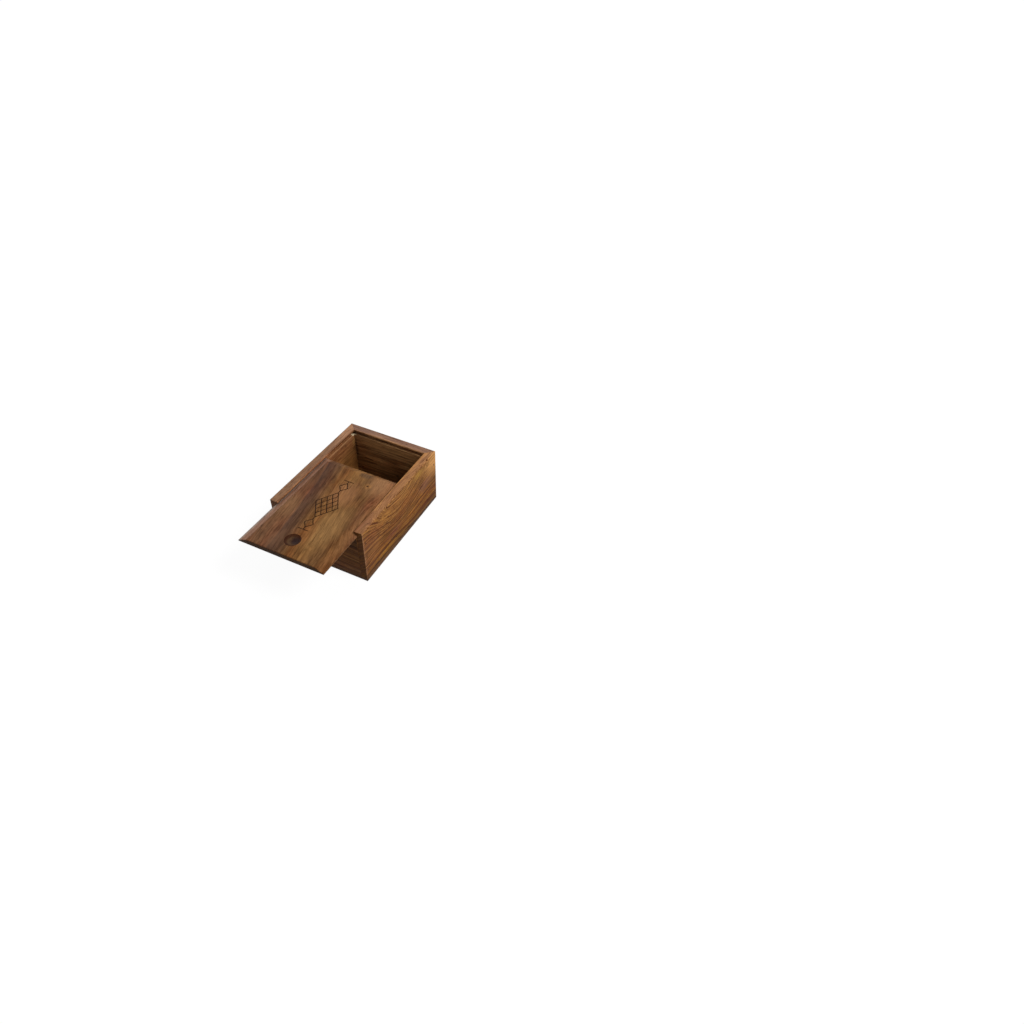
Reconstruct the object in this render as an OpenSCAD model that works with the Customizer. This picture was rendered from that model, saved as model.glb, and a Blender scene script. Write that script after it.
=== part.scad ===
// Sliding-lid box for chessmen, in solid hardwood.
// Three walls carry a dovetail-sided groove for the lid and are mitred at the back.
// The front wall stops at the groove's floor, so the lid slides out over it.
// Frame: the origin is the middle of the underside, +Y runs to the closed back,
// the lid slides out towards -Y, and +Z is up.

/* [Box] */
// Outside width, across the lid
box_w = 135; // [100:1:200]
// Outside length, along the slide
box_l = 182; // [140:1:260]
// Outside height, to the rim
box_h = 85; // [60:1:120]
// Thickness of the side walls and the back wall
wall_t = 11.5; // [10:0.5:16]
// Thickness of the front wall
front_t = 10; // [8:0.5:16]
// Thickness of the bottom board
bottom_t = 6; // [4:0.5:10]
// Depth that the front wall is let into each side wall
let_in = 2.3; // [1:0.1:4]

/* [Lid groove] */
// Height of the rim above the groove's floor
groove_drop = 7.9; // [6:0.1:10]
// Depth of the groove into the wall
groove_d = 4.6; // [3:0.1:6]
// Thickness of the lip's nose above the groove's mouth
nose_h = 2.2; // [1:0.1:3.5]
// Play between the lid's edge and the bottom of the groove
lid_play = 0.4; // [0.3:0.1:0.8]
// Play above the lid's thin edge
edge_play = 0.6; // [0.3:0.1:1]

/* [Lid] */
// How far the lid's top lies under the rim
lid_sink = 0.4; // [0:0.1:1.5]
// Thickness of the lid's edge, outside the bevels
lid_edge = 1.6; // [1:0.1:3]
// Width of the two side bevels
side_bevel = 13; // [9:0.5:20]
// Width of the back bevel
back_bevel = 10.5; // [9:0.5:20]
// How far the lid stands open
lid_open = 69; // [0:1:170]

/* [Thumb recess] */
// Width of the ball-cut recess at the lid's top
thumb_d = 20; // [14:0.5:30]
// Depth of the recess
thumb_depth = 3.6; // [2:0.1:4.5]
// Distance of its middle from the lid's front end
thumb_inset = 25; // [18:1:60]
// Width of the sanded rim round it
thumb_rim = 0.6; // [0.2:0.1:1.2]

/* [Arrises] */
// Radius of the outer arrises
arris_r = 1.2; // [0.5:0.1:3]
// Radius of the arrises that the lid and the hand pass over
fine_r = 0.6; // [0.3:0.1:1]

/* [Pins] */
// Diameter of a panel pin's shank
pin_d = 1.6; // [1.2:0.1:2.2]
// Diameter of its head
pin_head_d = 2.8; // [2.4:0.1:4]
// Thickness of its head
pin_head_t = 0.8; // [0.5:0.1:1.2]
// Length of its point
pin_point = 2.4; // [1:0.1:4]
// Depth that a head is punched under the surface
pin_sink = 0.4; // [0.2:0.1:1]
// Gap round a pin in its hole
pin_gap = 0.05; // [0.02:0.01:0.1]
// Length of a pin through a corner
corner_pin_l = 25; // [18:1:35]
// Pins up each corner
corner_pin_n = 3; // [2:1:4]
// Distance of the lowest and highest corner pin from the front wall's edges
corner_pin_inset = 12; // [8:1:20]
// Length of a pin through the bottom board
bottom_pin_l = 20; // [14:1:30]
// Bottom pins along each side wall
side_pin_n = 4; // [2:1:6]
// Bottom pins along the front wall and along the back wall
end_pin_n = 2; // [1:1:4]
// Distance of the outermost bottom pins from the corners
bottom_pin_inset = 30; // [20:1:40]

/* [Hidden] */
$fn = 72;

walnut = "#7a4f2e";
heartwood = "#8a5c36";
steel = "#8d8f92";

// Overshoot of a cutter past the face that it leaves
over = 1;

wall_h = box_h - bottom_t;              // height of the walls on the bottom board
floor_z = box_h - groove_drop;          // the groove's floor, and the front wall's top
floor_h = floor_z - bottom_t;           // the same above the bottom board
web_t = wall_t - groove_d;              // wood left outside the groove
mouth_h = lid_edge + edge_play;         // height of the groove at its bottom
half_w = box_w / 2;
half_l = box_l / 2;

lid_w = box_w - 2 * (web_t + lid_play);
lid_l = box_l - web_t - lid_play;
lid_t = groove_drop - lid_sink;
thumb_r = (thumb_d * thumb_d / 4 + thumb_depth * thumb_depth) / (2 * thumb_depth);

front_pin_y = -half_l + front_t / 2;    // the middle of the front wall
back_pin_y = half_l - wall_t / 2;       // the middle of the back wall
pin_low_z = bottom_t + corner_pin_inset;
pin_high_z = floor_z - corner_pin_inset;

// n places, evenly spread from a to b
function spread(n, a, b) = n == 1 ? [(a + b) / 2] : [for (i = [0 : n - 1]) a + (b - a) * i / (n - 1)];

// ---- shared shapes ----

// What is cut from a square corner at the origin, opening to +X +Y, to round it
module arris_2d(r) {
    difference() {
        translate([-over, -over])
            square(r + over);
        translate([r, r])
            circle(r);
    }
}

// Upright cutter that rounds the vertical outer corner at (side, end) = (+-1, +-1)
module upright_arris(side, end) {
    translate([side * half_w, end * half_l, -over])
        mirror([side > 0 ? 1 : 0, 0, 0])
            mirror([0, end > 0 ? 1 : 0, 0])
                linear_extrude(box_h + 2 * over)
                    arris_2d(arris_r);
}

// The groove in section: x is the depth from the wall's outer face, y the height above its floor.
// Its upper flank slopes, so the lip above it thins to a nose.
module groove_2d() {
    polygon([
        [web_t, 0],
        [wall_t + over, 0],
        [wall_t + over, groove_drop - nose_h],
        [wall_t, groove_drop - nose_h],
        [web_t, mouth_h]
    ]);
}

// Section of a grooved wall: x runs in from the outer face, y up from the bottom board
module wall_2d() {
    difference() {
        square([wall_t, wall_h]);
        translate([0, floor_h])
            groove_2d();
        translate([0, wall_h])
            mirror([0, 1])
                arris_2d(arris_r);
        translate([wall_t, wall_h])
            rotate(180)
                arris_2d(fine_r);
    }
}

// Everything on the far side of the mitre plane at the back corner on one side
module past_mitre(side) {
    reach = 2 * wall_t;
    translate([side * half_w, half_l, -over])
        rotate(side * 45)
            translate([-reach, 0, 0])
                cube([2 * reach, reach, box_h + 2 * over]);
}

// Everything on the near side of the same plane
module before_mitre(side) {
    reach = 2 * wall_t;
    translate([side * half_w, half_l, -over])
        rotate(side * 45)
            translate([-reach, -reach, 0])
                cube([2 * reach, reach, box_h + 2 * over]);
}

// ---- pins ----

// A panel pin: flat head at z = 0, point along +Z
module pin(length) {
    rotate_extrude()
        polygon([
            [0, 0],
            [pin_head_d / 2, 0],
            [pin_head_d / 2, pin_head_t],
            [pin_d / 2, pin_head_t],
            [pin_d / 2, length - pin_point],
            [0, length]
        ]);
}

// The hole that a pin is driven into, with the punched pit over its head
module pin_hole(length) {
    translate([0, 0, -pin_sink - over])
        cylinder(d = pin_head_d + 2 * pin_gap, h = pin_sink + over + pin_head_t);
    cylinder(d = pin_d + 2 * pin_gap, h = length + pin_gap);
}

// Puts its children at each corner pin's head, with +Z into the wood
module at_corner_pins() {
    for (side = [-1, 1])
        for (y = [front_pin_y, back_pin_y])
            for (z = spread(corner_pin_n, pin_low_z, pin_high_z))
                translate([side * (half_w - pin_sink), y, z])
                    rotate([0, -side * 90, 0])
                        children();
}

// Puts its children at each bottom pin's head, with +Z into the wood
module at_bottom_pins() {
    for (side = [-1, 1])
        for (y = spread(side_pin_n, -half_l + bottom_pin_inset, half_l - bottom_pin_inset))
            translate([side * (half_w - wall_t / 2), y, pin_sink])
                children();
    for (y = [front_pin_y, back_pin_y])
        for (x = spread(end_pin_n, -half_w + bottom_pin_inset, half_w - bottom_pin_inset))
            translate([x, y, pin_sink])
                children();
}

module all_pin_holes() {
    at_corner_pins()
        pin_hole(corner_pin_l);
    at_bottom_pins()
        pin_hole(bottom_pin_l);
}

// ---- the box ----

// The left side wall: grooved along its whole length, mitred at the back,
// and let in at the front for the end of the front wall
module side_wall() {
    difference() {
        translate([-half_w, half_l, bottom_t])
            rotate([90, 0, 0])
                linear_extrude(box_l)
                    wall_2d();
        past_mitre(-1);
        translate([-half_w + wall_t - let_in, -half_l - over, bottom_t - over])
            cube([let_in + over, front_t + over, floor_h + over]);
        upright_arris(-1, -1);
        upright_arris(-1, 1);
        // the end-grain arris of the rim
        translate([-half_w - over, -half_l, box_h])
            rotate([90, 0, 90])
                linear_extrude(wall_t + 2 * over)
                    mirror([0, 1])
                        arris_2d(fine_r);
        all_pin_holes();
    }
}

module left_wall() {
    color(walnut)
        side_wall();
}

module right_wall() {
    color(heartwood)
        mirror([1, 0, 0])
            side_wall();
}

// The back wall: the same section, mitred at both ends
module back_wall() {
    color(walnut)
        difference() {
            translate([-half_w, half_l, bottom_t])
                mirror([0, 1, 0])
                    rotate([90, 0, 90])
                        linear_extrude(box_w)
                            wall_2d();
            for (side = [-1, 1]) {
                before_mitre(side);
                upright_arris(side, 1);
            }
            all_pin_holes();
        }
}

// The front wall: its top is level with the groove's floor
module front_wall() {
    span = box_w - 2 * (wall_t - let_in);
    color(heartwood)
        difference() {
            translate([-span / 2, -half_l, bottom_t])
                rotate([90, 0, 90])
                    linear_extrude(span)
                        difference() {
                            square([front_t, floor_h]);
                            translate([0, floor_h])
                                mirror([0, 1])
                                    arris_2d(fine_r);
                            translate([front_t, floor_h])
                                rotate(180)
                                    arris_2d(fine_r);
                        }
            all_pin_holes();
        }
}

// Section of the bottom board across a width, with its lower arrises rounded
module board_2d(width) {
    difference() {
        translate([-width / 2, 0])
            square([width, bottom_t]);
        for (side = [0, 1])
            mirror([side, 0])
                translate([-width / 2, 0])
                    arris_2d(arris_r);
    }
}

// The bottom board: as wide and long as the box, under the four walls
module bottom_board() {
    color(walnut)
        difference() {
            intersection() {
                translate([0, half_l, 0])
                    rotate([90, 0, 0])
                        linear_extrude(box_l)
                            board_2d(box_w);
                translate([-half_w, 0, 0])
                    rotate([90, 0, 90])
                        linear_extrude(box_w)
                            board_2d(box_l);
            }
            for (side = [-1, 1])
                for (end = [-1, 1])
                    upright_arris(side, end);
            all_pin_holes();
        }
}

// ---- the lid ----

// Section across the lid: a flat underside, thin edges and two wide bevels
module lid_across_2d() {
    half = lid_w / 2;
    polygon([
        [-half + fine_r, 0],
        [half - fine_r, 0],
        [half, fine_r],
        [half, lid_edge],
        [half - side_bevel, lid_t],
        [-half + side_bevel, lid_t],
        [-half, lid_edge],
        [-half, fine_r]
    ]);
}

// Section along the lid from its front end: square in front, bevelled at the back
module lid_along_2d() {
    polygon([
        [fine_r, 0],
        [lid_l - fine_r, 0],
        [lid_l, fine_r],
        [lid_l, lid_edge],
        [lid_l - back_bevel, lid_t],
        [fine_r, lid_t],
        [0, lid_t - fine_r],
        [0, fine_r]
    ]);
}

// A dish cut by a ball, with its rim sanded off
module thumb_cut() {
    translate([0, 0, thumb_r - thumb_depth])
        sphere(thumb_r);
    // the sanding falls one in two, from thumb_rim outside the ball's cut
    translate([0, 0, -2 * thumb_rim])
        cylinder(
            r1 = thumb_d / 2 - 3 * thumb_rim,
            r2 = thumb_d / 2 + thumb_rim + 2 * over,
            h = 2 * thumb_rim + over
        );
}

module lid() {
    color(heartwood)
        translate([0, -half_l - lid_open, floor_z])
            difference() {
                intersection() {
                    translate([0, lid_l, 0])
                        rotate([90, 0, 0])
                            linear_extrude(lid_l)
                                lid_across_2d();
                    translate([-lid_w / 2, 0, 0])
                        rotate([90, 0, 90])
                            linear_extrude(lid_w)
                                lid_along_2d();
                }
                translate([0, thumb_inset, lid_t])
                    thumb_cut();
            }
}

// ---- fasteners ----

module corner_pins() {
    color(steel)
        at_corner_pins()
            pin(corner_pin_l);
}

module bottom_pins() {
    color(steel)
        at_bottom_pins()
            pin(bottom_pin_l);
}

left_wall();
right_wall();
back_wall();
front_wall();
bottom_board();
lid();
corner_pins();
bottom_pins();
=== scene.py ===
"""Looks of a wooden box with a sliding lid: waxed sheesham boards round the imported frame."""

import math

import bmesh
import bpy
from mathutils import Euler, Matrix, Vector


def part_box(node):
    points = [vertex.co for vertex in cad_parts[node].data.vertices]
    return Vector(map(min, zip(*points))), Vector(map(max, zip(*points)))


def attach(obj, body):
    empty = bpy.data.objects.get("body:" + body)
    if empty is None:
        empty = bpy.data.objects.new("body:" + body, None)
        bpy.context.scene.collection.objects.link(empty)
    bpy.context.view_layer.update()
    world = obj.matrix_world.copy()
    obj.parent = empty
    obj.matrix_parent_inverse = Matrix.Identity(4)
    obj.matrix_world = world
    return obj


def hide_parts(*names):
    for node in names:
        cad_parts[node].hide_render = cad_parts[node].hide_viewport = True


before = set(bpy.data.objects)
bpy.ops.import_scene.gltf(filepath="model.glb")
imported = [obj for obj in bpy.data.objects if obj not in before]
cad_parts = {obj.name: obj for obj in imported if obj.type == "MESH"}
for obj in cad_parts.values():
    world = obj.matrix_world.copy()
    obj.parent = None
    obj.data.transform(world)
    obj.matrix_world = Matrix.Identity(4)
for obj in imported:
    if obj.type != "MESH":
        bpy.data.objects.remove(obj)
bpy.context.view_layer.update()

MM = 0.001

# ---- camera ----
CAMERA_AT = Vector((451.3, -584.5, 702.6)) * MM
CAMERA_YAW = -21.41       # degrees that the view turns from +Y, towards +X if positive
CAMERA_PITCH = 43.16      # degrees that it looks down
CAMERA_ROLL = 4.25        # degrees that the horizon leans
CAMERA_LENS = 25.24       # mm, on a sensor 36 mm wide

# ---- light ----
KEY_FROM = Vector((0.66, 0.04, 0.75))      # the main light: to the right and above
KEY_STRENGTH = 2.3
KEY_WIDTH = 22.0          # degrees of sky that it fills
FILL_FROM = Vector((-0.72, 0.52, 0.46))    # a weak one behind on the left, for the bevels
FILL_STRENGTH = 0.6
FILL_WIDTH = 40.0
AMBIENT = 0.36            # strength of the white world on matt surfaces
FLOOR_SPAN = 40.0         # metres
FLOOR_BOUNCE = 0.36       # how much light the floor sends back to the box
FLOOR_SHADED = 0.08       # how much of the floor's white comes from light, so shadows still show
FLOOR_OWN = 0.94          # how much it gives by itself

# ---- finish ----
FIBRE_SHEEN = "#d8b494"   # waxed fibres glint in the wood's own warm colour
END_GRAIN_TONE = 0.7      # how far the ends go towards one dark brown
EDGE_WEAR_AND_HIGHLIGHT = 0.35          # how far the rounded edges go towards pale bare wood: wear, and a painted highlight where they catch the light

# ---- joinery that the frame doesn't round ----
SEAM_ARRIS = 0.2 * MM     # sandpaper's width on the long sharp edges, which draws the seams
ARRIS_ANGLE = math.radians(20)     # an edge that bends more than this is sharp
SHORTEST_ARRIS = 2.5 * MM
CRISP = math.radians(40)           # edges that stay unsmoothed, such as those of the cuts
FLAT = math.radians(0.4)           # triangles that bend less than this are one face

# ---- stopping over the corner pins, in mm ----
BOX_HALF_W = 67.5
PIN_YS = (-86.0, 85.25)
PIN_ZS = (18.0, 41.55, 65.1)
PIT_R = 1.42
STOP_DEPTH = 0.3
STOP_SUNK = 0.05                  # how far the wax lies below the wood
STOP_RIM = PIT_R * 0.4            # width of its sloping rim
STOP_CROWN = 0.05                 # height of its middle over the rim
STOP_SIDES = 24

# ---- thumb recess on the lid, in mm ----
THUMB_AT = (0.0, -135.0)

# ---- engraved ornament on the lid, in mm ----
ORNAMENT_AT = (0.0, -66.0)        # its middle
LOZENGE = (16.0, 25.0)            # half width and half length of the latticed lozenge
CELLS = 4                         # cells along each of its sides
SMALL_LOZENGE = (6.0, 8.0)
SMALL_AT = 37.0                   # distance of the small lozenges from the middle
STEM_END = 49.0
BAR = 7.0                         # half length of the bar across each stem's end
LINE_W = 1.1
LINE_DEPTH = 0.6
GRAVER_RISE = 0.4                 # how far the cutter stands over the lid, in line depths


def linear(code):
    """An sRGB hex colour as linear RGBA."""
    parts = [int(code[i:i + 2], 16) / 255 for i in (1, 3, 5)]
    return (*[c / 12.92 if c <= 0.04045 else ((c + 0.055) / 1.055) ** 2.4 for c in parts], 1.0)


def add(tree, kind, output=0, inputs=None, stops=None, **settings):
    """Adds one node with its settings and its sockets set or linked, and returns an output."""
    node = tree.nodes.new(kind)
    for key, value in settings.items():
        setattr(node, key, value)
    for socket, value in (inputs or {}).items():
        if isinstance(value, bpy.types.NodeSocket):
            tree.links.new(value, node.inputs[socket])
        else:
            node.inputs[socket].default_value = value
    if stops:
        ramp = node.color_ramp.elements
        while len(ramp) < len(stops):
            ramp.new(1.0)
        for element, (place, colour) in zip(ramp, stops):
            element.position = place
            element.color = linear(colour)
    return node.outputs[output] if node.outputs else None


def new_material(name):
    """An empty node material and its tree."""
    material = bpy.data.materials.new(name)
    material.use_nodes = True
    material.node_tree.nodes.clear()
    return material, material.node_tree


# ---- wood ----

def sheesham(name, heart, lean, zones, layer, seed, along_x=False, swirls=(), marks=(),
             lines=0.55, unrest=1.0, dips=0.14, fibres=0.42, length=55.0, shine=0.1,
             ends="#51321b"):
    """Waxed sheesham: a solid pattern of growth layers, so that faces and end grain agree.

    heart: a point on the tree's middle line, in mm; lean: how that line turns from the
    board's length, in degrees (up, across); zones: colours by distance from it, in mm;
    layer: mean width of a growth layer in mm; swirls: (place, half sizes, lift) in mm, where
    the layers bulge; marks: (place, half sizes, colour, strength, share of its reach at full
    strength) for knots and stains, and for painted shade, highlights and sheen; lines:
    strength of the dark layers; unrest: size of the ripples; dips: contrast of the flecks;
    fibres: contrast of the fibre bundles; length: of one, in mm; shine: of the rubbed wax;
    ends: the dark brown of the end grain.
    """
    material, tree = new_material(name)
    place = add(tree, "ShaderNodeTexCoord", "Object")

    # the tree's own space, in mm: Y along its middle line
    turn = Euler((math.radians(lean[0]), 0, math.radians(lean[1] + (90 if along_x else 0))))
    board = add(tree, "ShaderNodeMapping", inputs={
        "Vector": place, "Scale": (1 / MM,) * 3, "Rotation": turn,
        "Location": -(turn.to_matrix() @ Vector(heart))})

    # the trunk was never a true cylinder: long slow waves, then short ripples
    slow = add(tree, "ShaderNodeVectorMath", operation="MULTIPLY", inputs={
        0: board, 1: (1 / 46, 1 / 190, 1 / 46)})
    slow_noise = add(tree, "ShaderNodeTexNoise", "Color", noise_dimensions="4D", inputs={
        "Vector": slow, "W": seed, "Scale": 1.0, "Detail": 1.5})
    slow_shift = add(tree, "ShaderNodeVectorMath", operation="MULTIPLY_ADD", inputs={
        0: slow_noise, 1: (22, 0, 22), 2: (-11, 0, -11)})
    quick = add(tree, "ShaderNodeVectorMath", operation="MULTIPLY", inputs={
        0: board, 1: (1 / 12, 1 / 46, 1 / 12)})
    quick_noise = add(tree, "ShaderNodeTexNoise", "Color", noise_dimensions="4D", inputs={
        "Vector": quick, "W": seed + 5, "Scale": 1.0, "Detail": 3.0})
    ripple = 5.0 * unrest
    quick_shift = add(tree, "ShaderNodeVectorMath", operation="MULTIPLY_ADD", inputs={
        0: quick_noise, 1: (ripple, 0, ripple), 2: (-ripple / 2, 0, -ripple / 2)})
    shift = add(tree, "ShaderNodeVectorMath", operation="ADD", inputs={
        0: slow_shift, 1: quick_shift})
    grown = add(tree, "ShaderNodeVectorMath", operation="ADD", inputs={0: board, 1: shift})
    section = add(tree, "ShaderNodeVectorMath", operation="MULTIPLY", inputs={
        0: grown, 1: (1, 0, 1)})
    ring = add(tree, "ShaderNodeVectorMath", "Value", operation="LENGTH", inputs={0: section})
    for centre, half, lift in swirls:
        local = add(tree, "ShaderNodeMapping", vector_type="TEXTURE", inputs={
            "Vector": place, "Location": Vector(centre) * MM, "Scale": Vector(half) * MM})
        reach = add(tree, "ShaderNodeVectorMath", "Value", operation="LENGTH", inputs={0: local})
        bulge = add(tree, "ShaderNodeMapRange", interpolation_type="SMOOTHERSTEP", inputs={
            "Value": reach, "To Min": lift, "To Max": 0.0})
        ring = add(tree, "ShaderNodeMath", operation="ADD", inputs={0: ring, 1: bulge})

    # colour by distance from the heart
    near, far = zones[0][0], zones[-1][0]
    share = add(tree, "ShaderNodeMapRange", inputs={
        "Value": ring, "From Min": near, "From Max": far})
    colour = add(tree, "ShaderNodeValToRGB", inputs={"Fac": share}, stops=[
        ((at - near) / (far - near), code) for at, code in zones])

    # growth layers: uneven dark bands, with thin pigment lines among them
    bands = add(tree, "ShaderNodeTexNoise", noise_dimensions="1D", inputs={
        "W": add(tree, "ShaderNodeMath", operation="DIVIDE", inputs={0: ring, 1: layer}),
        "Scale": 1.0, "Detail": 3.0, "Roughness": 0.6})
    band_mask = add(tree, "ShaderNodeMapRange", interpolation_type="SMOOTHSTEP", inputs={
        "Value": bands, "From Min": 0.42, "From Max": 0.66, "To Max": lines})
    threads = add(tree, "ShaderNodeTexNoise", noise_dimensions="1D", inputs={
        "W": add(tree, "ShaderNodeMath", operation="DIVIDE", inputs={0: ring, 1: layer * 0.22}),
        "Scale": 1.0, "Detail": 2.0, "Roughness": 0.7})
    thread_mask = add(tree, "ShaderNodeMapRange", interpolation_type="SMOOTHSTEP", inputs={
        "Value": threads, "From Min": 0.56, "From Max": 0.70, "To Max": lines})
    fade = add(tree, "ShaderNodeTexNoise", noise_dimensions="4D", inputs={
        "Vector": add(tree, "ShaderNodeVectorMath", operation="MULTIPLY", inputs={
            0: grown, 1: (1 / 14, 1 / 70, 1 / 14)}),
        "W": seed + 9, "Scale": 1.0, "Detail": 1.0})
    fade_mask = add(tree, "ShaderNodeMapRange", inputs={
        "Value": fade, "From Min": 0.35, "From Max": 0.62})
    thread_mask = add(tree, "ShaderNodeMath", operation="MULTIPLY", inputs={
        0: thread_mask, 1: fade_mask})
    colour = add(tree, "ShaderNodeMix", 2, data_type="RGBA", blend_type="MULTIPLY", inputs={
        0: band_mask, 6: colour, 7: linear("#9d7c5c")})
    colour = add(tree, "ShaderNodeMix", 2, data_type="RGBA", blend_type="MULTIPLY", inputs={
        0: thread_mask, 6: colour, 7: linear("#5e4029")})

    # blushes of red and slow changes of tone
    blush = add(tree, "ShaderNodeTexNoise", noise_dimensions="4D", inputs={
        "Vector": add(tree, "ShaderNodeVectorMath", operation="MULTIPLY", inputs={
            0: grown, 1: (1 / 20, 1 / 55, 1 / 20)}),
        "W": seed + 13, "Scale": 1.0, "Detail": 2.0})
    blush_mask = add(tree, "ShaderNodeMapRange", interpolation_type="SMOOTHSTEP", inputs={
        "Value": blush, "From Min": 0.45, "From Max": 0.66, "To Max": 0.42})
    colour = add(tree, "ShaderNodeMix", 2, data_type="RGBA", blend_type="MULTIPLY", inputs={
        0: blush_mask, 6: colour, 7: linear("#f0c4b4")})
    cloud = add(tree, "ShaderNodeTexNoise", noise_dimensions="4D", inputs={
        "Vector": add(tree, "ShaderNodeVectorMath", operation="MULTIPLY", inputs={
            0: grown, 1: (1 / 30, 1 / 70, 1 / 30)}),
        "W": seed + 7, "Scale": 1.0, "Detail": 5.0, "Roughness": 0.72})
    cloud_tone = add(tree, "ShaderNodeMapRange", inputs={
        "Value": cloud, "From Min": 0.3, "From Max": 0.7, "To Min": 0.72, "To Max": 1.28})
    colour = add(tree, "ShaderNodeVectorMath", operation="SCALE", inputs={0: colour, 3: cloud_tone})

    # flecks of some 5 mm by 14 mm, where the interlocked grain dips into the face
    dip = add(tree, "ShaderNodeTexNoise", noise_dimensions="4D", inputs={
        "Vector": add(tree, "ShaderNodeVectorMath", operation="MULTIPLY", inputs={
            0: grown, 1: (1 / 5, 1 / 14, 1 / 5)}),
        "W": seed + 17, "Scale": 1.0, "Detail": 2.5, "Roughness": 0.6})
    dip_tone = add(tree, "ShaderNodeMapRange", inputs={
        "Value": dip, "From Min": 0.32, "From Max": 0.68,
        "To Min": 1.0 - dips, "To Max": 1.0 + dips})
    colour = add(tree, "ShaderNodeVectorMath", operation="SCALE", inputs={0: colour, 3: dip_tone})

    # the rounded edges go paler, partly polished by hands and partly a painted highlight: there the
    # normal lies between two axes
    normal = add(tree, "ShaderNodeTexCoord", "Normal")
    squares = add(tree, "ShaderNodeVectorMath", operation="MULTIPLY", inputs={0: normal, 1: normal})
    flatness = add(tree, "ShaderNodeVectorMath", "Value", operation="DOT_PRODUCT", inputs={
        0: squares, 1: squares})
    wear_and_highlight = add(tree, "ShaderNodeMapRange", interpolation_type="SMOOTHSTEP", inputs={
        "Value": flatness, "From Min": 0.52, "From Max": 0.68, "To Min": EDGE_WEAR_AND_HIGHLIGHT, "To Max": 0.0})
    colour = add(tree, "ShaderNodeMix", 2, data_type="RGBA", inputs={
        0: wear_and_highlight, 6: colour, 7: linear("#bd8f63")})

    # knots, stains and scorches, and painted shade, highlights and sheen
    for centre, half, code, strength, core in marks:
        local = add(tree, "ShaderNodeMapping", vector_type="TEXTURE", inputs={
            "Vector": place, "Location": Vector(centre) * MM, "Scale": Vector(half) * MM})
        reach = add(tree, "ShaderNodeVectorMath", "Value", operation="LENGTH", inputs={0: local})
        stain_and_painted_light = add(tree, "ShaderNodeMapRange", interpolation_type="SMOOTHSTEP", inputs={
            "Value": reach, "From Min": core, "To Min": strength, "To Max": 0.0})
        colour = add(tree, "ShaderNodeMix", 2, data_type="RGBA", inputs={
            0: stain_and_painted_light, 6: colour, 7: linear(code)})

    # fibres, in bundles some 1.6 mm wide and finer, running with the layers
    apart = tree.nodes.new("ShaderNodeSeparateXYZ")
    tree.links.new(grown, apart.inputs[0])
    across = add(tree, "ShaderNodeMath", operation="SUBTRACT", inputs={
        0: apart.outputs[0], 1: apart.outputs[2]})
    run = add(tree, "ShaderNodeCombineXYZ", inputs={"X": ring, "Y": apart.outputs[1], "Z": across})
    fibre = add(tree, "ShaderNodeTexNoise", noise_dimensions="4D", inputs={
        "Vector": add(tree, "ShaderNodeVectorMath", operation="MULTIPLY", inputs={
            0: run, 1: (1 / 1.6, 1 / length, 1 / 2.6)}),
        "W": seed + 2, "Scale": 1.0, "Detail": 4.0, "Roughness": 0.68})
    fibre_tone = add(tree, "ShaderNodeMapRange", inputs={
        "Value": fibre, "From Min": 0.28, "From Max": 0.72,
        "To Min": 1.0 - fibres, "To Max": 1.0 + fibres})
    colour = add(tree, "ShaderNodeVectorMath", operation="SCALE", inputs={0: colour, 3: fibre_tone})

    # dark streaks, 1 mm wide, where the pigment gathers
    streaks = add(tree, "ShaderNodeTexNoise", noise_dimensions="4D", inputs={
        "Vector": add(tree, "ShaderNodeVectorMath", operation="MULTIPLY", inputs={
            0: run, 1: (1 / 1.3, 0.9 / length, 1 / 2.2)}),
        "W": seed + 21, "Scale": 1.0, "Detail": 2.0})
    streak_mask = add(tree, "ShaderNodeMapRange", interpolation_type="SMOOTHSTEP", inputs={
        "Value": streaks, "From Min": 0.54, "From Max": 0.68, "To Max": 1.9 * fibres})
    colour = add(tree, "ShaderNodeMix", 2, data_type="RGBA", blend_type="MULTIPLY", inputs={
        0: streak_mask, 6: colour, 7: linear("#76543b")})

    # pores: slits filled with dark wax, drawn some 0.2 mm wide and 3 mm long so that they show
    cells = add(tree, "ShaderNodeTexVoronoi", "Distance", inputs={
        "Vector": add(tree, "ShaderNodeVectorMath", operation="MULTIPLY", inputs={
            0: run, 1: (1 / 0.8, 1 / 11, 1 / 1.3)}),
        "Scale": 1.0})
    pore = add(tree, "ShaderNodeMapRange", interpolation_type="SMOOTHSTEP", inputs={
        "Value": cells, "From Min": 0.10, "From Max": 0.20, "To Min": 1.0, "To Max": 0.0})
    colour = add(tree, "ShaderNodeMix", 2, data_type="RGBA", blend_type="MULTIPLY", inputs={
        0: add(tree, "ShaderNodeMath", operation="MULTIPLY", inputs={0: pore, 1: 0.75}),
        6: colour, 7: linear("#6b4a33")})

    # end grain drinks the wax and darkens
    grain = (1, 0, 0) if along_x else (0, 1, 0)
    facing = add(tree, "ShaderNodeVectorMath", "Value", operation="DOT_PRODUCT", inputs={
        0: normal, 1: grain})
    end = add(tree, "ShaderNodeMapRange", interpolation_type="SMOOTHSTEP", inputs={
        "Value": add(tree, "ShaderNodeMath", operation="ABSOLUTE", inputs={0: facing}),
        "From Min": 0.6, "From Max": 0.95, "To Max": END_GRAIN_TONE})
    colour = add(tree, "ShaderNodeMix", 2, data_type="RGBA", inputs={
        0: end, 6: colour, 7: linear(ends)})

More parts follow.
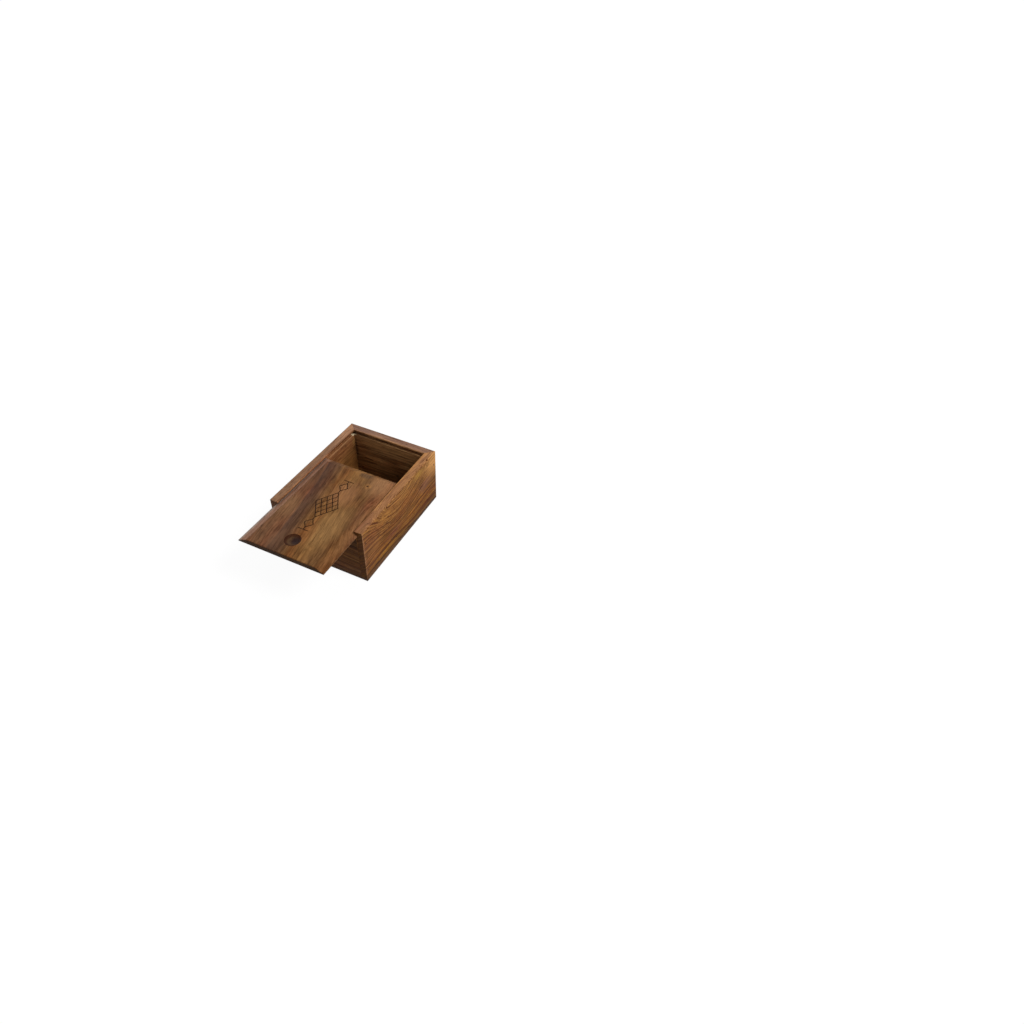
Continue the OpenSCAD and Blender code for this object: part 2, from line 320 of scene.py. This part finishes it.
    # the wax fills the grain but for a trace, and shines less over the pores
    relief = add(tree, "ShaderNodeMath", operation="SUBTRACT", inputs={0: fibre, 1: pore})
    bump = add(tree, "ShaderNodeBump", inputs={
        "Height": relief, "Strength": 0.35, "Distance": 0.06 * MM})
    roughness = add(tree, "ShaderNodeMapRange", inputs={
        "Value": relief, "From Min": -0.6, "From Max": 0.8, "To Min": 0.58, "To Max": 0.42})
    surface = add(tree, "ShaderNodeBsdfPrincipled", inputs={
        "Base Color": colour, "Roughness": roughness, "Normal": bump,
        "Specular IOR Level": shine, "Specular Tint": linear(FIBRE_SHEEN)})
    add(tree, "ShaderNodeOutputMaterial", inputs={"Surface": surface})
    return material


def burnt_wood():
    """Walls of the engraved lines: wood browned by a hot tool, matt and nearly even."""
    material, tree = new_material("burnt_engraving")
    place = add(tree, "ShaderNodeTexCoord", "Object")
    soot = add(tree, "ShaderNodeTexNoise", inputs={
        "Vector": place, "Scale": 1 / (1.5 * MM), "Detail": 3.0})
    colour = add(tree, "ShaderNodeValToRGB", inputs={"Fac": soot}, stops=[
        (0.3, "#1b0f08"), (0.7, "#342013")])
    surface = add(tree, "ShaderNodeBsdfPrincipled", inputs={
        "Base Color": colour, "Roughness": 0.8, "Specular IOR Level": 0.05})
    add(tree, "ShaderNodeOutputMaterial", inputs={"Surface": surface})
    return material


def bright_steel():
    """Drawn and polished wire of a panel pin, dulled by handling."""
    material, tree = new_material("drawn_steel_pin")
    place = add(tree, "ShaderNodeTexCoord", "Object")
    scuffs = add(tree, "ShaderNodeTexNoise", inputs={
        "Vector": place, "Scale": 1 / (0.4 * MM), "Detail": 4.0})
    colour = add(tree, "ShaderNodeValToRGB", inputs={"Fac": scuffs}, stops=[
        (0.35, "#7d7a76"), (0.65, "#a9a6a1")])
    roughness = add(tree, "ShaderNodeMapRange", inputs={
        "Value": scuffs, "To Min": 0.25, "To Max": 0.5})
    surface = add(tree, "ShaderNodeBsdfPrincipled", inputs={
        "Base Color": colour, "Metallic": 1.0, "Roughness": roughness})
    add(tree, "ShaderNodeOutputMaterial", inputs={"Surface": surface})
    return material


def stopping_wax():
    """Brown wax that is rubbed into the pits over the pins."""
    material, tree = new_material("brown_stopping_wax")
    place = add(tree, "ShaderNodeTexCoord", "Object")
    grit = add(tree, "ShaderNodeTexNoise", inputs={
        "Vector": place, "Scale": 1 / (0.8 * MM), "Detail": 3.0})
    colour = add(tree, "ShaderNodeValToRGB", inputs={"Fac": grit}, stops=[
        (0.3, "#4a2e1c"), (0.7, "#634028")])
    surface = add(tree, "ShaderNodeBsdfPrincipled", inputs={
        "Base Color": colour, "Roughness": 0.55, "Specular IOR Level": 0.05})
    add(tree, "ShaderNodeOutputMaterial", inputs={"Surface": surface})
    return material


# ---- boards ----

def sanded_board(node, material):
    """A copy of a board whose long sharp edges have had a touch of sandpaper."""
    board = bmesh.new()
    board.from_mesh(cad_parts[node].data)
    bmesh.ops.remove_doubles(board, verts=board.verts, dist=0.01 * MM)
    bmesh.ops.dissolve_limit(board, angle_limit=FLAT, verts=board.verts, edges=board.edges)
    long_arrises = [
        edge for edge in board.edges
        if edge.calc_face_angle(0.0) > ARRIS_ANGLE and edge.calc_length() > SHORTEST_ARRIS]
    bmesh.ops.bevel(
        board, geom=long_arrises, offset=SEAM_ARRIS, offset_type="OFFSET", segments=2, profile=0.5,
        affect="EDGES", clamp_overlap=False, material=-1)
    mesh = bpy.data.meshes.new(node + "_board")
    board.to_mesh(mesh)
    board.free()
    mesh.materials.append(material)
    piece = bpy.data.objects.new(node + "_board", mesh)
    bpy.context.scene.collection.objects.link(piece)
    return piece


def finish_board(piece, node, body):
    """Keeps the big faces flat and the cuts crisp, and puts the board on its body."""
    for polygon in piece.data.polygons:
        polygon.use_smooth = True
    piece.data.set_sharp_from_angle(angle=CRISP)
    flat = piece.modifiers.new("flat_faces", "WEIGHTED_NORMAL")
    flat.keep_sharp = True
    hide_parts(node)
    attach(piece, body)


def stop_corner_pins():
    """Wax rubbed into the pits over the corner pins, a hair below the wood."""
    stops = bmesh.new()
    for side in (-1, 1):
        for y in PIN_YS:
            for z in PIN_ZS:
                disc = bmesh.ops.create_circle(
                    stops, cap_ends=True, segments=STOP_SIDES, radius=PIT_R * MM)["verts"]
                face = [f for f in stops.faces if all(v in disc for v in f.verts)]
                raised = bmesh.ops.extrude_face_region(stops, geom=face)["geom"]
                crown = [v for v in raised if isinstance(v, bmesh.types.BMVert)]
                bmesh.ops.translate(stops, verts=crown, vec=(0, 0, STOP_DEPTH * MM))
                top = [f for f in raised if isinstance(f, bmesh.types.BMFace)]
                inner = bmesh.ops.inset_region(
                    stops, faces=top, thickness=STOP_RIM * MM, depth=STOP_CROWN * MM)
                middle = {v for f in top + inner["faces"] for v in f.verts} - set(crown)
                plug = disc + crown + list(middle)
                turn = Euler((0, side * math.pi / 2, 0)).to_matrix().to_4x4()
                turn.translation = Vector((side * (BOX_HALF_W - STOP_DEPTH - STOP_SUNK), y, z)) * MM
                bmesh.ops.transform(stops, matrix=turn, verts=plug)
    bmesh.ops.recalc_face_normals(stops, faces=stops.faces)
    mesh = bpy.data.meshes.new("pin_stopping")
    stops.to_mesh(mesh)
    stops.free()
    mesh.materials.append(stopping_wax())
    piece = bpy.data.objects.new("pin_stopping", mesh)
    bpy.context.scene.collection.objects.link(piece)
    for polygon in mesh.polygons:
        polygon.use_smooth = True
    mesh.set_sharp_from_angle(angle=CRISP)
    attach(piece, "box")


# ---- ornament ----

def ornament_lines():
    """Ends of the engraved lines, in mm from the ornament's middle."""
    lines = []

    def lozenge(half, centre, cells):
        middle = Vector((0, centre))
        front = middle + Vector((0, -half[1]))
        right = middle + Vector((half[0], 0))
        back = middle + Vector((0, half[1]))
        left = middle + Vector((-half[0], 0))
        for i in range(cells + 1):
            share = i / cells
            lines.append((front.lerp(right, share), left.lerp(back, share)))
            lines.append((front.lerp(left, share), right.lerp(back, share)))

    lozenge(LOZENGE, 0, CELLS)
    for end in (-1, 1):
        lozenge(SMALL_LOZENGE, end * SMALL_AT, 1)
        tips = [LOZENGE[1], SMALL_AT - SMALL_LOZENGE[1], SMALL_AT + SMALL_LOZENGE[1], STEM_END]
        lines.append((Vector((0, end * tips[0])), Vector((0, end * tips[1]))))
        lines.append((Vector((0, end * tips[2])), Vector((0, end * tips[3]))))
        lines.append((Vector((-BAR, end * STEM_END)), Vector((BAR, end * STEM_END))))
    return lines


def graver_path(top):
    """V-shaped bars along the ornament's lines, to be cut out of the lid."""
    mesh = bpy.data.meshes.new("graver_path")
    bars = bmesh.new()
    for start, end in ornament_lines():
        along = (end - start).normalized()
        side = Vector((-along.y, along.x))
        profile = []
        # each bar runs a third of its width past both ends, so that corners and crossings close
        for across, up in ((-1, GRAVER_RISE), (1, GRAVER_RISE), (0, -1)):
            spread = LINE_W / 2 * across * (1 + GRAVER_RISE)
            at = start + side * spread - along * LINE_W / 3
            profile.append(bars.verts.new((
                (ORNAMENT_AT[0] + at.x) * MM,
                (ORNAMENT_AT[1] + at.y) * MM,
                top + up * LINE_DEPTH * MM)))
        face = bars.faces.new(profile)
        pushed = bmesh.ops.extrude_face_region(bars, geom=[face])
        reach = (end - start) + along * LINE_W * 2 / 3
        bmesh.ops.translate(
            bars, vec=(reach.x * MM, reach.y * MM, 0),
            verts=[v for v in pushed["geom"] if isinstance(v, bmesh.types.BMVert)])
    bmesh.ops.recalc_face_normals(bars, faces=bars.faces)
    bars.to_mesh(mesh)
    bars.free()
    return mesh


def engrave(lid):
    """Cuts the ornament into the lid's top and browns the cuts."""
    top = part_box("lid")[1].z
    mesh = graver_path(top)
    mesh.materials.append(burnt_wood())
    tool = bpy.data.objects.new("graver", mesh)
    bpy.context.scene.collection.objects.link(tool)
    cut = lid.modifiers.new("engraving", "BOOLEAN")
    cut.operation = "DIFFERENCE"
    cut.solver = "EXACT"
    cut.use_self = True
    cut.material_mode = "TRANSFER"
    cut.object = tool
    evaluated = lid.evaluated_get(bpy.context.evaluated_depsgraph_get())
    engraved = bpy.data.meshes.new_from_object(evaluated)
    lid.modifiers.clear()
    lid.data = engraved
    bpy.data.objects.remove(tool)


# ---- the six boards ----

HONEY, TAWNY, RUSSET = "#8a6237", "#7d562f", "#775036"
ROSE, UMBER, PLUM = "#8a5c40", "#5f3f22", "#5d4334"
LIP_HIGHLIGHT = "#c79d70"        # painted highlight along the groove's lip, where its rounded edge catches the light
PALE_SPOT = "#e0cda8"       # a small pale spot in the groove's back left corner

lid_wood = sheesham(
    "waxed_sheesham_lid", heart=(-150, -110, 60), lean=(0, -8.5), layer=5.5, seed=3.0,
    zones=[(88, RUSSET), (105, "#76543a"), (122, "#6f4a33"), (124, "#543b2e"), (137, "#60432f"),
           (150, TAWNY), (166, HONEY), (182, "#7c5833"), (200, "#744f2e"), (220, RUSSET)],
    swirls=[((62, -66, 80), (46, 74, 40), 15.0)],
    marks=[
        # slow changes of tone over the raised panel
        ((26, -98, 84), (24, 60, 12), "#997448", 0.5, 0.2),
        ((8, -40, 84), (24, 34, 12), "#946546", 0.45, 0.3),
        ((42, -150, 84), (22, 26, 12), "#5f4129", 0.4, 0.2),
        ((40, -4, 84), (26, 34, 12), "#ad7f57", 0.55, 0.2),
        ((-44, -150, 84), (16, 30, 12), "#5e402c", 0.4, 0.2),
        ((-40, -92, 84), (18, 36, 12), "#8a6645", 0.55, 0.2),
        ((-20, -142, 84), (12, 26, 12), "#7d5a42", 0.45, 0.2),
        ((53, -80, 82), (7, 110, 6), "#946842", 0.45, 0.2),
        ((13, 4, 84), (14, 8, 12), "#4e3d33", 0.5, 0.3),
        # a pin knot and its halo
        ((25.7, -13.7, 84), (8, 7, 4), "#a4733f", 0.5, 0.2),
        ((25.7, -13.7, 84), (2.0, 2.2, 3), "#2f1b10", 0.9, 0.5),
        # the left bevel: painted sheen, the white surroundings reflected pale in it
        ((-53.6, -80, 81.5), (8, 200, 6), "#a67c66", 0.6, 0.75),
        ((-60, -80, 80), (6, 200, 6), "#9e9085", 0.75, 0.3),
        # the thumb recess: its rim scorched by the cutter, the bowl darker, partly painted shade
        # and partly its open grain, and painted shade on its right side
        ((*THUMB_AT, 82), (10.6, 10.6, 12), "#2e130b", 0.85, 0.95),
        ((*THUMB_AT, 82), (8.6, 8.6, 12), "#5c4530", 0.7, 0.6),
        ((THUMB_AT[0] + 2.7, THUMB_AT[1] + 1.5, 81), (8.8, 8.8, 12), "#21131a", 0.8, 0.3),
        # the front end darker: painted shade over its dark end grain
        ((0, -160.3, 80), (400, 1.7, 400), "#3d2210", 0.6, 0.5)],
    lines=0.4, unrest=1.3, dips=0.26, fibres=0.27, length=24.0, shine=0.04, ends="#33200f")
right_wood = sheesham(
    "waxed_sheesham_right", heart=(147, 0, -60), lean=(0, 0.6), layer=4.0, seed=11.0,
    zones=[(96, "#6b4517"), (106, "#8f5f20"), (118, "#9c652a"), (126, "#875824"),
           (150, "#9a6832"), (172, "#a8733a"), (190, "#b07a40"), (206, "#b98347")],
    swirls=[((70, -4, 90), (16, 92, 75), 40.0),
            ((67, -40, 78), (12, 26, 12), 5.0),
            ((67, 46, 80), (12, 20, 9), 7.0)],
    marks=[
        # golden patches along the top
        ((67, 44, 78), (6, 20, 9), "#cf9d4a", 0.5, 0.0),
        ((67, 90, 74), (8, 46, 36), "#e0a462", 0.8, 0.1),
        ((67, -40, 72), (8, 26, 9), "#b8813f", 0.5, 0.2),
        # the front end and its worn edge
        ((67, -84, 45), (6, 46, 60), "#855a40", 0.3, 0.2),
        ((67.5, -90.4, 42), (1.2, 1.5, 400), "#a67c60", 0.45, 0.2),
        # reddish patches
        ((67, 60, 48), (6, 26, 13), "#8f5f50", 0.4, 0.1),
        ((67, -24, 30), (6, 30, 9), "#8f5440", 0.35, 0.1),
        # painted shade at the foot, near the floor
        ((67.5, 0, 5), (6, 400, 10), "#54361c", 0.5, 0.35),
        # the rim: painted sheen of the white surroundings, darker at the front
        ((62, 0, 86), (9, 400, 2.4), "#a67856", 0.6, 0.5),
        ((62, -92, 86), (9, 56, 2.6), "#754e3a", 0.6, 0.2)],
    lines=1.0, unrest=1.4, fibres=0.54, shine=0.03)
left_wood = sheesham(
    "waxed_sheesham_left", heart=(-147, 0, -60), lean=(0, 1.5), layer=4.0, seed=19.0,
    zones=[(96, TAWNY), (130, "#9d6c38"), (150, "#9c693f"), (176, ROSE)],
    marks=[
        # painted shade on the lower part of the inside
        ((-56, 76, 42), (6, 48, 30), "#5c3c1e", 0.7, 0.4),
        # the rim: painted sheen of the white surroundings, paler at the back
        ((-62, 0, 86), (9, 400, 2.4), "#80644d", 0.6, 0.5),
        ((-62, 80, 86), (9, 60, 3), "#be8c68", 0.55, 0.3),
        # painted highlight along the groove's lip, the inside below it, and the outer edge darker
        ((-56, 0, 77.1), (1.6, 400, 1.1), LIP_HIGHLIGHT, 0.4, 0.3),
        ((-56, 76, 67), (3, 5, 10), "#a07a44", 0.5, 0.2),
        ((-67.4, 0, 84.8), (1.8, 400, 1.8), "#5d4a3b", 0.6, 0.3),
        ((-57, 77.8, 77.4), (3.8, 3.0, 2.2), PALE_SPOT, 0.95, 0.6)],
    lines=0.5, unrest=2.0, fibres=0.34, length=30.0, shine=0.08)
back_wood = sheesham(
    "waxed_sheesham_back", heart=(0, 165, -60), lean=(0, 1.0), layer=4.0, seed=27.0, along_x=True,
    zones=[(96, "#73502f"), (130, "#a37649"), (150, "#a37a50"), (176, ROSE)],
    marks=[
        # painted light on the top of the inside
        ((0, 80, 76), (90, 4, 24), "#c08d58", 0.6, 0.3),
        # the rim: painted sheen of the white surroundings, darker on the left
        ((0, 85, 86), (400, 9, 2.4), "#826457", 0.6, 0.5),
        ((-40, 85, 86), (32, 9, 2.6), "#6d5247", 0.55, 0.2),
        # painted highlight along the groove's lip, painted shade in the inner corner, and the outer
        # edge darker
        ((0, 79.5, 77.1), (400, 1.6, 1.1), LIP_HIGHLIGHT, 0.5, 0.5),
        ((-55.5, 79.5, 52), (4, 3, 26), "#2e1e19", 0.6, 0.2),
        ((0, 90.9, 84.8), (400, 1.8, 1.8), "#5b4a41", 0.6, 0.3),
        ((-54.8, 80, 77.3), (2.8, 2.0, 1.8), PALE_SPOT, 0.9, 0.6)],
    lines=0.6, shine=0.08)
front_wood = sheesham(
    "waxed_sheesham_front", heart=(0, -165, -60), lean=(0, 1.0), layer=4.0, seed=35.0, along_x=True,
    zones=[(96, RUSSET), (120, TAWNY), (150, UMBER)],
    lines=0.8, shine=0.03)
bottom_wood = sheesham(
    "waxed_sheesham_bottom", heart=(30, 0, -60), lean=(0, -1.0), layer=5.0, seed=43.0,
    zones=[(50, RUSSET), (80, UMBER), (110, PLUM)],
    marks=[
        # the front edge, darker near the floor
        ((0, -91, 1), (400, 5, 4.5), "#1f130c", 0.7, 0.3)],
    lines=0.6, shine=0.05)

for node, slot, material in (
        ("left_wall", "wall_wood", left_wood),
        ("right_wall", "wall_wood", right_wood),
        ("back_wall", "wall_wood", back_wood),
        ("front_wall", "wall_wood", front_wood),
        ("bottom_board", "base_wood", bottom_wood)):
    finish_board(sanded_board(node, material), node, "box")

lid = sanded_board("lid", lid_wood)
engrave(lid)
finish_board(lid, "lid", "lid")

steel = bright_steel()
for node in ("corner_pins", "bottom_pins"):
    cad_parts[node].data.materials.clear()
    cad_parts[node].data.materials.append(steel)

stop_corner_pins()

# ---- studio ----

def softbox(name, direction, strength, width):
    """Even light from far away: a wide sun, so the floor is lit alike everywhere."""
    lamp = bpy.data.lights.new(name, "SUN")
    lamp.energy = strength
    lamp.angle = math.radians(width)
    holder = bpy.data.objects.new(name, lamp)
    bpy.context.scene.collection.objects.link(holder)
    holder.location = direction.normalized()
    holder.rotation_euler = direction.to_track_quat("Z", "Y").to_euler()


def seen_directly(tree):
    """1 for rays from the camera, a mirror or glass, and 0 for light on matt surfaces."""
    path = tree.nodes.new("ShaderNodeLightPath")
    either = add(tree, "ShaderNodeMath", operation="MAXIMUM", inputs={
        0: path.outputs["Is Camera Ray"], 1: path.outputs["Is Glossy Ray"]})
    return add(tree, "ShaderNodeMath", operation="MAXIMUM", inputs={
        0: either, 1: path.outputs["Is Transmission Ray"]})


def white_world():
    """White where it is seen, and a plain dimmer light on the wood."""
    world = bpy.data.worlds.new("studio")
    world.use_nodes = True
    tree = world.node_tree
    tree.nodes.clear()
    strength = add(tree, "ShaderNodeMapRange", inputs={
        "Value": seen_directly(tree), "To Min": AMBIENT, "To Max": 1.0})
    light = add(tree, "ShaderNodeBackground", inputs={
        "Color": linear("#ffffff"), "Strength": strength})
    add(tree, "ShaderNodeOutputWorld", inputs={"Surface": light})
    bpy.context.scene.world = world


def floor():
    """A pale floor that stays white where it is seen and still takes the box's shadow."""
    material, tree = new_material("pale_floor")
    direct = seen_directly(tree)
    albedo = add(tree, "ShaderNodeMapRange", inputs={
        "Value": direct, "To Min": FLOOR_BOUNCE, "To Max": FLOOR_SHADED})
    matt = add(tree, "ShaderNodeBsdfDiffuse", inputs={
        "Color": add(tree, "ShaderNodeCombineXYZ", inputs={"X": albedo, "Y": albedo, "Z": albedo})})
    glow = add(tree, "ShaderNodeMath", operation="MULTIPLY", inputs={0: direct, 1: FLOOR_OWN})
    own = add(tree, "ShaderNodeEmission", inputs={"Strength": glow})
    both = add(tree, "ShaderNodeAddShader", inputs={0: matt, 1: own})
    add(tree, "ShaderNodeOutputMaterial", inputs={"Surface": both})
    sheet = bmesh.new()
    bmesh.ops.create_grid(sheet, x_segments=1, y_segments=1, size=FLOOR_SPAN / 2)
    mesh = bpy.data.meshes.new("floor")
    sheet.to_mesh(mesh)
    sheet.free()
    mesh.materials.append(material)
    piece = bpy.data.objects.new("floor", mesh)
    bpy.context.scene.collection.objects.link(piece)


def camera():
    """Looks well down on the box from the front right."""
    data = bpy.data.cameras.new("camera")
    data.lens = CAMERA_LENS
    data.sensor_width = 36.0
    holder = bpy.data.objects.new("camera", data)
    bpy.context.scene.collection.objects.link(holder)
    holder.location = CAMERA_AT
    look = Euler((math.radians(90 - CAMERA_PITCH), 0, math.radians(-CAMERA_YAW))).to_matrix()
    roll = Euler((0, 0, math.radians(CAMERA_ROLL))).to_matrix()
    holder.rotation_euler = (look @ roll).to_euler()
    bpy.context.scene.camera = holder


camera()
white_world()
floor()
softbox("key_light", KEY_FROM, KEY_STRENGTH, KEY_WIDTH)
softbox("fill_light", FILL_FROM, FILL_STRENGTH, FILL_WIDTH)
bpy.context.scene.view_settings.view_transform = "Standard"
